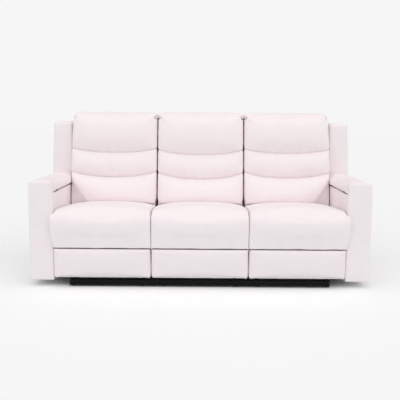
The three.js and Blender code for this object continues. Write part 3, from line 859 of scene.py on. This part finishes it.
pocket_overrun = 0.1


# Rows of a back from below to its top, closest beside the seams
def back_rows():
    rows = []
    flat_top = back_top - back_high_radii[2]
    for low, high, count in zip(pillow_edges[:-1], (*pillow_edges[1:-1], flat_top), rows_per_pillow):
        turn = np.linspace(0, math.pi, count + 1)[:-1]
        spread = (1 - np.cos(turn)) / 2 if high < flat_top else 1 - np.cos(turn / 2)
        rows.append(low + (high - low) * spread)
    edge = edge_stops(back_half[2], back_low_radii[2], back_high_radii[2], 2 * back_half[2])
    middle = back_bottom + back_half[2]
    below = np.linspace(back_bottom + back_low_radii[2], pillow_edges[0], rows_below)[:-1] - middle
    rows = [row - middle for row in rows]
    return np.concatenate([edge[:arc_steps], below, *rows, [flat_top - middle], edge[-arc_steps:]])


# Adds a place between two that are wide apart, where it is wanted
def closer(stops, widest, wanted):
    halfway = (stops[1:] + stops[:-1]) / 2
    return np.sort(np.concatenate([stops, halfway[(np.diff(stops) > widest) & wanted(halfway)]]))


# Columns and rows stand closer near the top corners, where the cover is gathered
back_columns = edge_stops(back_half[0], back_low_radii[0], back_high_radii[0], back_grid)
back_depths = edge_stops(back_half[1], back_low_radii[1], back_high_radii[1], back_depth_grid, 4)
back_heights = back_rows()
for widest, corner_width, corner_height in ((7 * mm, 60 * mm, 85 * mm), (3.6 * mm, 46 * mm, 76 * mm)):
    back_columns = closer(back_columns, widest, lambda x: np.abs(x) > back_half[0] - corner_width)
    back_heights = closer(back_heights, widest, lambda z: z > back_half[2] - corner_height)

for number, seat in enumerate(seat_names):
    points, share, faces, seam = soft_block(
        back_half, back_low_radii, back_high_radii, back_grid, [back_columns, back_depths, back_heights])
    phase = 0.9 + 2.1 * number
    outer = outer_side[seat]
    height = points[:, 2] + back_half[2] + back_bottom
    front = (1 - share[:, 1]) / 2
    across = share[:, 0]
    near_side = np.abs(across)
    # The seams of the outer backs lie a little higher and straighter than the middle one's
    lifted = pillow_edges + abs(outer) * outer_seam_lift
    drops = seam_drops - abs(outer) * outer_seam_straighter
    height = np.interp(height, (back_bottom, *pillow_edges), (back_bottom, *lifted))
    inside = np.clip(np.searchsorted(lifted, height + tiny, side="right") - 1, 0, 2)
    low, high = lifted[inside], lifted[inside + 1]
    rise = np.clip((height - low) / (high - low), 0, 1)
    roundness = np.where((inside == 0) & (rise < 0.5), 0.4, 0.6)
    full = np.sin(math.pi * rise) ** roundness * (height > pillow_edges[0])
    pillow = (pillow_depths[inside] + groove_depth) * full - groove_depth
    depth = pillow * (1 - near_side ** pillow_squareness)
    rear_face = back_rear_y + (height - back_bottom) * back_rear_slope
    front_face = back_front_y + np.maximum(0, height - pillow_edges[0]) * back_front_slope
    drop = np.interp(height, lifted, drops) * bulge(near_side ** 1.2)
    hang = overhang * np.sin(math.pi * rise) * (1 - rise) * (inside > 0)
    # Beside the arm the lowest pillow falls away behind a slanting fold
    fold = np.clip((crease_start - (hollow_top - height) / hollow_rise) / crease_share, 0, 0.98)
    behind_fold = np.where(height < hollow_top, (outer * across - fold) / (1 - fold), -1)
    past_fold = np.clip(behind_fold, 0, 1) ** 0.7
    depth = np.minimum(depth, pillow * (1 - past_fold) - hollow_depth * past_fold)
    points[:, 1] = (rear_face + front_face) / 2 + share[:, 1] * (rear_face - front_face) / 2 - depth * front
    points[:, 2] = height - (drop + hang) * front
    # The top corners are sewn off at a slant, more so beside the wings
    corner_cut = np.where(outer * across > 0, outer_corner_cut, inner_corner_cut)
    beyond = corner_cut - (back_half[0] - np.abs(points[:, 0])) - (back_top - points[:, 2])
    slant = slant_softness * np.logaddexp(0, beyond / slant_softness) / 2
    at_seam = np.min(np.abs(height[:, None] - lifted[None, 1:3]), axis=1)
    pinch = side_pinch * hump(at_seam, side_pinch_reach) * smooth(front, 0.4, 0.9)
    wander = side_wander * (1 + ripple(height, phase + across, side_wander_lengths)) * (near_side > 0.9)
    inset = upper_inset * near_edge(outer * across, 0.9) * (inside == 2) * np.sin(math.pi * rise / 2)
    # Low down, between two seats, the sides draw in and leave a dark notch
    notch = notch_cut * smooth(notch_top - height, 0, notch_rise) * near_edge(near_side, 0.93)
    notch *= outer * across < 0.9
    drawn = slant + wander + pinch * near_edge(near_side, 0.9) + inset + notch
    points[:, 0] -= np.sign(across) * drawn
    points[:, 2] -= slant
    points[:, 0] += seat_x(seat)
    back = new_piece(f"back_cover_{seat}", points, faces, fabric)
    keep_value(back, "seam", seam)
    keep_value(back, "front", front)
    keep_value(back, "pillow_seam", np.where(front > 0.6, at_seam, 1))
    held = np.maximum(smooth(-front, -0.55, -0.35), hump(at_seam, stitch_hold))
    held = np.maximum(held, near_edge(near_side, 0.96))
    held = np.maximum(held, smooth(behind_fold, -0.12, 0.02))
    held = np.maximum(held, smooth(-height, -pillow_edges[0] - 0.01, -pillow_edges[0] + 0.02))
    swell(back, held, pressure=4, ease=0.008, cap=9 * mm)
    refine(back)
    where = places(back.data)
    where[:, 0] -= seat_x(seat)
    beside_seam = np.abs(kept_value(back, "pillow_seam"))
    puckers = pucker_depth * ripple(where[:, 0], phase, pucker_lengths)
    puckers *= np.exp(-beside_seam / pucker_reach) * (beside_seam < 0.5)
    groove = -stitch_depth * hump(beside_seam, stitch_width)
    # Short gathers fan out from a point on each side, below the slanted corner
    gathers = np.zeros(len(where))
    for side in sides.values():
        inward = back_half[0] - gather_inset - side * where[:, 0]
        upward = where[:, 2] - (back_top - gather_drop)
        for turn in gather_turns:
            turn += gather_jitter * math.sin(phase + 5 * turn + side)
            along = inward * math.cos(turn) + upward * math.sin(turn)
            aside = upward * math.cos(turn) - inward * math.sin(turn)
            start = smooth(along, -gather_inset, gather_inset / 2)
            fade = start * smooth(gather_reach - along, 0, gather_fade)
            gathers -= gather_depth * fade * hump(aside, gather_width)
    gathers *= smooth(kept_value(back, "front"), 0.6, 0.95)
    push_out(back, seam_groove(back) + puckers + groove + gathers)
    carve(back,
          (-pocket_half, -pocket_depth / 2, -pocket_overrun),
          (pocket_half, pocket_depth / 2, frame_height + pocket_play),
          Matrix.Translation(frame_foot + Vector((pivot("recline", seat).x, 0, 0)))
          @ Matrix.Rotation(-frame_lean, 4, "X"))
    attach(back, f"back_{seat}")
    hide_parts(f"back_cushion_{seat}")


# Arms
# A boxed wooden arm under thin foam and the same cover. Its flat front fascia is a separate padded
# board as tall as the arm, and a plain seam runs round behind it.
arm_grid = 16 * mm
arm_radii = (8 * mm, 8 * mm, 8 * mm)
arm_padding = 4 * mm
arm_puff = 3 * mm
arm_wrap = 6 * mm
arm_ease = 0.7 * mm
arm_ease_lengths = (0.13, 0.21, 0.37)
arm_body_top = 0.567
fascia_depth = 28 * mm
fascia_puff = 4 * mm
fascia_seam_depth = 1.8 * mm
overrun = 0.05

for name, side in sides.items():
    low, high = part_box(f"arm_{name}")
    points, share, faces, _ = soft_block((high - low) / 2, arm_radii, arm_radii, arm_grid)
    # The cover stands off the outer side and wraps under the arm
    outward = (1 + side * share[:, 0]) / 2
    points[:, 0] += side * outward * (arm_padding + arm_puff * bulge(share[:, 2]))
    points[:, 2] -= arm_wrap * (1 - share[:, 2]) / 2
    front = near_edge(-share[:, 1], 0.9)
    points[:, 1] -= fascia_puff * front * bulge(share[:, 0]) ** 0.5 * bulge(share[:, 2] ** 5)
    points += np.array((low + high) / 2)
    arm = new_piece(f"arm_cover_{name}", points, faces, fabric)
    keep_value(arm, "behind", points[:, 1] - (low.y + fascia_depth))
    refine(arm)
    ease = ripple(places(arm.data)[:, 2], phase=1.3 + side, lengths=arm_ease_lengths) * arm_ease
    push_out(arm, ease - fascia_seam_depth * hump(kept_value(arm, "behind"), seam_width))
    carve(arm,
          (low.x - overrun, low.y + fascia_depth, arm_body_top),
          (high.x + overrun, high.y + overrun, high.z + overrun))
    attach(arm, "root")
    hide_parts(f"arm_{name}")


# Arm pads
# A soft roll of fibre over foam lies on each arm, fullest on the side of the seats. Its cover is sewn to
# the arm's along the outside, and the lever's slot is left open under it on the inside.
pad_grid = 10 * mm
pad_side_radii = (14 * mm, 34 * mm)
pad_bottom_radius = 12 * mm
pad_top_radius = 28 * mm
pad_end_radius = 14 * mm
pad_crown = 4 * mm
pad_bulge = 5 * mm
pad_wave = 1 * mm
pad_wave_lengths = (0.05, 0.09, 0.16)
slot_reach = 24 * mm
slot_height = 13 * mm
slot_setback = 52 * mm
slot_overrun = 20 * mm

for name, side in sides.items():
    low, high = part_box(f"arm_pad_{name}")
    # The outer radius comes first, so the pair is in order on the left and turned round on the right
    low_x_radius, high_x_radius = pad_side_radii[::-side]
    points, share, faces, _ = soft_block(
        (high - low) / 2,
        (low_x_radius, pad_end_radius, pad_bottom_radius),
        (high_x_radius, pad_end_radius, pad_top_radius),
        pad_grid)
    top = (share[:, 2] + 1) / 2
    inner = -side * share[:, 0]
    length_bulge = bulge(share[:, 1] ** 4)
    points[:, 2] += pad_crown * top * bulge(share[:, 0]) * length_bulge
    points[:, 0] += side * arm_padding * (1 - inner) / 2
    points[:, 0] -= side * pad_bulge * near_edge(inner, 0.4) * bulge(share[:, 2] * 0.8) * length_bulge
    points += np.array((low + high) / 2)
    pad = new_piece(f"arm_pad_cover_{name}", points, faces, fabric)
    keep_value(pad, "top", top)
    held = np.maximum(smooth(-share[:, 2], -0.2, 0.2), near_edge(np.abs(share[:, 1]), 0.97))
    swell(pad, held, pressure=3, ease=0.02, cap=6 * mm)
    refine(pad)
    waves = ripple(places(pad.data)[:, 1], phase=0.6 + side, lengths=pad_wave_lengths) * pad_wave
    push_out(pad, waves * kept_value(pad, "top"))
    inner_x = high.x if side < 0 else low.x
    slot_low_x, slot_high_x = sorted((inner_x - side * slot_overrun, inner_x + side * slot_reach))
    carve(pad,
          (slot_low_x, low.y + slot_setback, low.z - overrun),
          (slot_high_x, high.y + overrun, arm_body_top + slot_height))
    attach(pad, "root")
    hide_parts(f"arm_pad_{name}")


# Wings
# A padded upright stands on each arm beside the back, boxed at the front and closed by plain seams.
wing_grid = 12 * mm
wing_side_radii = (16 * mm, 10 * mm)
wing_bottom_radius = 12 * mm
wing_end_radius = 16 * mm
wing_top_radius = 24 * mm
wing_puff = 8 * mm
wing_taper = 18 * mm
wing_padding = 11 * mm
wing_wave = 0.8 * mm
wing_wave_lengths = (0.07, 0.13, 0.29)

for name, side in sides.items():
    low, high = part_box(f"wing_{name}")
    low_x_radius, high_x_radius = wing_side_radii[::-side]
    points, share, faces, seam = soft_block(
        (high - low) / 2,
        (low_x_radius, wing_end_radius, wing_bottom_radius),
        (high_x_radius, wing_end_radius, wing_top_radius),
        wing_grid)
    front = (1 - share[:, 1]) / 2
    outward = (1 + side * share[:, 0]) / 2
    points[:, 0] += side * outward * (wing_padding - wing_taper * (1 + share[:, 2]) / 2)
    points[:, 1] -= wing_puff * front * bulge(share[:, 0]) * bulge(share[:, 2] ** 3)
    points += np.array((low + high) / 2)
    wing = new_piece(f"wing_cover_{name}", points, faces, fabric)
    keep_value(wing, "seam", seam)
    held = np.maximum(near_edge(np.abs(share[:, 0]), 0.6), smooth(share[:, 1], 0.4, 0.9))
    swell(wing, held, pressure=2, ease=0.001, cap=4 * mm)
    refine(wing)
    waves = ripple(places(wing.data)[:, 2], phase=2.1 + side, lengths=wing_wave_lengths) * wing_wave
    push_out(wing, seam_groove(wing) + waves)
    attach(wing, "root")
    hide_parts(f"wing_{name}")


# Release levers
# A flat black paddle in the slot under each arm pad. It is moulded in one piece with its pivot boss.
def moulded_black():
    material, tree, shader, place = new_material("moulded_black_plastic")
    grain = noise(tree, place, 1 * mm)
    rub = noise(tree, place, 20 * mm, 3)
    set_inputs(tree, shader, {
        "Base Color": two_tone(tree, rub, "141415", "222223"),
        "Roughness": 0.45,
        "Normal": bump(tree, grain, 0.2, 0.15 * mm),
    })
    return material


lever_plastic = moulded_black()
for name in sides:
    dress(f"release_lever_{name}", lever_plastic)


# Rear panel
# A board between the arms closes the back low down. It is wrapped in the same cover, pulled tight.
rear_grid = 20 * mm
rear_radii = (5 * mm, 5 * mm, 5 * mm)
rear_pull = 0.7 * mm
rear_pull_lengths = (0.09, 0.17, 0.41)

low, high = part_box("rear_panel")
centre = (low + high) / 2
points, _, faces, _ = soft_block((high - low) / 2, rear_radii, rear_radii, rear_grid)
rear = new_piece("rear_panel_cover", points + np.array(centre), faces, fabric)
refine(rear)
where = places(rear.data)
pulled = ripple(where[:, 0], phase=0.4, lengths=rear_pull_lengths) * rear_pull
push_out(rear, pulled * smooth(where[:, 1], centre.y, high.y))
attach(rear, "root")
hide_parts("rear_panel")


# Studio
# A plain pale floor runs back into the same pale ground. Wide soft light falls from above and in front,
# with a weaker light from each side.
ground_grey = "F6F6F6"
floor_grey = "FEFEFE"
bounce_grey = "E2E9EA"
floor_half = 40
room_light = 0.385
# Each lamp's power, and in degrees how wide it is, how far it leans from overhead and how far it turns
lamps = {
    "key": (1.52, 110, 30, -8),
    "fill": (0.24, 90, 70, 6),
    "left": (0.18, 60, 62, -80),
    "right": (0.4, 60, 62, 80),
}


# The camera sees the floor as pale as the ground, and the light that it throws up is a little duller
def floor_paint():
    material, tree, shader = new_material("pale_floor")[:3]
    seen = add_node(tree, "ShaderNodeLightPath").outputs["Is Camera Ray"]
    tint = add_node(tree, "ShaderNodeMix", {
        "Factor": seen, "A": linear(bounce_grey), "B": linear(floor_grey),
    }, data_type="RGBA")
    set_inputs(tree, shader, {
        "Base Color": tint.outputs["Result"], "Roughness": 1.0, "Specular IOR Level": 0.0,
    })
    return material


floor = new_piece("floor", [
    (-floor_half, -floor_half, 0), (floor_half, -floor_half, 0),
    (floor_half, floor_half, 0), (-floor_half, floor_half, 0),
], [(0, 1, 2, 3)], floor_paint())

world = bpy.data.worlds.new("studio")
scene.world = world
world.use_nodes = True
tree = world.node_tree
tree.nodes.clear()
seen = add_node(tree, "ShaderNodeLightPath").outputs["Is Camera Ray"]
room = add_node(tree, "ShaderNodeBackground", {"Color": linear("FFFFFF"), "Strength": room_light})
ground = add_node(tree, "ShaderNodeBackground", {"Color": linear(ground_grey), "Strength": 1.0})
both = add_node(tree, "ShaderNodeMixShader", {"Fac": seen, 1: room.outputs[0], 2: ground.outputs[0]})
add_node(tree, "ShaderNodeOutputWorld", {"Surface": both.outputs[0]})

for name, (power, width, lean, turn) in lamps.items():
    lamp_data = bpy.data.lights.new(name, "SUN")
    lamp_data.energy = power
    lamp_data.angle = math.radians(width)
    lamp = bpy.data.objects.new(name, lamp_data)
    scene.collection.objects.link(lamp)
    lamp.rotation_euler = (math.radians(lean), 0, math.radians(turn))

scene.view_settings.view_transform = "Standard"
